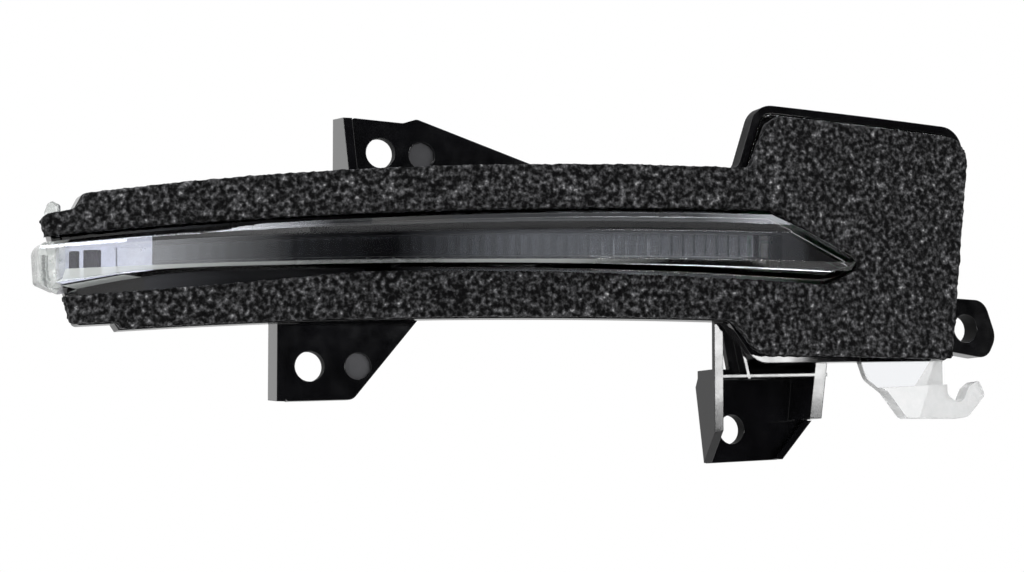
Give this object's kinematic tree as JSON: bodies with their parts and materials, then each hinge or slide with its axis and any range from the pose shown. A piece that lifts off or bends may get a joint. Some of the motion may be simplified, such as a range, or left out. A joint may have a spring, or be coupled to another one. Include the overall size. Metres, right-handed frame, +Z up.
{
  "type": "mirror turn signal light",
  "caption": "Curved door-mirror turn signal lamp: clear light-guide bar in a foam-faced black housing with screw ears, a ribbed bracket, a clear hook and a rear connector socket.",
  "frame": {"origin": "midway between the two outboard screw holes, on the front seat plane of their ears", "axes": "+X along the lamp towards its inboard box, -Y the way the lens faces, +Z up"},
  "size_m": [0.2009, 0.043, 0.0709],
  "materials": {
    "housing_black": "gloss black moulded plastic",
    "lens_clear": "clear polished moulding",
    "foam_black": "open-cell black foam",
    "guide_clear": "clear polished light guide",
    "bezel_black": "satin black moulding",
    "reflector_metal": "vacuum metallised plastic",
    "board_green": "green solder mask",
    "led_amber": "amber LED package",
    "chip_black": "moulded chip body",
    "capacitor_tan": "ceramic chip body",
    "pin_tin": "tinned brass",
    "screw_steel": "zinc plated steel",
    "membrane_white": "white vent film"
  },
  "bodies": {
    "root": {"housing": "housing_black", "lens": "lens_clear", "foam_gasket": "foam_black", "light_guide": "guide_clear", "inner_bezel": "bezel_black", "end_reflector": "reflector_metal", "circuit_board": "board_green", "inlet_led": "led_amber", "driver_chip": "chip_black", "chip_resistors": "chip_black", "chip_capacitors": "capacitor_tan", "protection_diode": "chip_black", "terminal_pins": "pin_tin", "board_screws": "screw_steel", "bezel_screws": "screw_steel", "vent_membrane": "membrane_white"}
  },
  "joints": []
}
